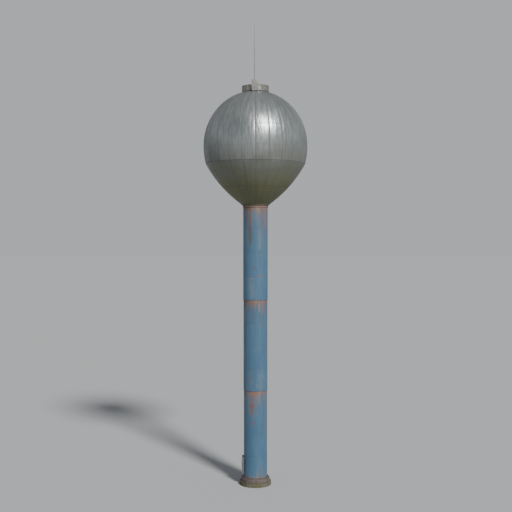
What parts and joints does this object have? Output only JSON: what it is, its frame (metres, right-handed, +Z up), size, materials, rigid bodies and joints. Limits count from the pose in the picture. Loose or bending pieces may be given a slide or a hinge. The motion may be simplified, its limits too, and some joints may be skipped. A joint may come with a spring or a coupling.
{
  "type": "water tower",
  "caption": "Ball-and-bowl steel water tank on a slender round column with a hinged access door, a stepped round plinth, a roof curb and a lightning mast.",
  "frame": {"origin": "centre of the plinth's underside, on the column's axis", "axes": "+Z up along the column, -X towards the access door, -Y towards the mast's side"},
  "size_m": [6.84, 6.84, 30.06],
  "materials": {
    "mossy_concrete": "weathered concrete with moss",
    "stained_concrete": "weathered concrete with rust stains",
    "rusted_steel": "rusted steel with traces of paint",
    "blue_paint": "faded blue paint with rust runs",
    "grey_blue_paint": "faded grey-blue paint",
    "silver_paint": "dull silver paint, streaked",
    "olive_paint": "dull silver paint under olive grime",
    "curb_paint": "grey-green aged paint",
    "box_paint": "pale grey paint",
    "galvanised_rod": "dull galvanised steel"
  },
  "bodies": {
    "tower": {"plinth_lower_tier": "mossy_concrete", "plinth_upper_tier": "stained_concrete", "base_flange": "rusted_steel", "door_course_front_wall": "blue_paint", "door_course_right_wall": "blue_paint", "door_course_back_wall": "blue_paint", "door_course_below_door": "blue_paint", "door_course_over_door": "blue_paint", "column_lower_section": "blue_paint", "column_middle_section": "blue_paint", "column_upper_section": "blue_paint", "column_top_ring": "rusted_steel", "door_jamb_near": "grey_blue_paint", "door_jamb_far": "grey_blue_paint", "door_sill": "grey_blue_paint", "door_head": "grey_blue_paint", "hinge_lower_knuckle": "galvanised_rod", "hinge_upper_knuckle": "galvanised_rod", "tank_bottom_plate": "olive_paint", "tank_bowl_lower_course": "olive_paint", "tank_bowl_upper_course": "olive_paint", "tank_belt": "silver_paint", "tank_dome_lower_course": "silver_paint", "tank_dome_crown": "silver_paint", "roof_curb_ring": "curb_paint", "roof_hatch_cover": "curb_paint", "mast_box": "box_paint", "mast_foot": "galvanised_rod", "mast_tube": "galvanised_rod", "lightning_rod": "galvanised_rod"},
    "door": {"door_leaf": "grey_blue_paint", "door_handle": "galvanised_rod", "hinge_lower_strap": "galvanised_rod", "hinge_upper_strap": "galvanised_rod"}
  },
  "joints": [
    {"name": "door_hinge", "type": "hinge", "parent": "tower", "child": "door", "pos_m": [-0.8893, -0.31, 1.28], "axis": [0, 0, 1], "range_deg": [0, 110]}
  ]
}
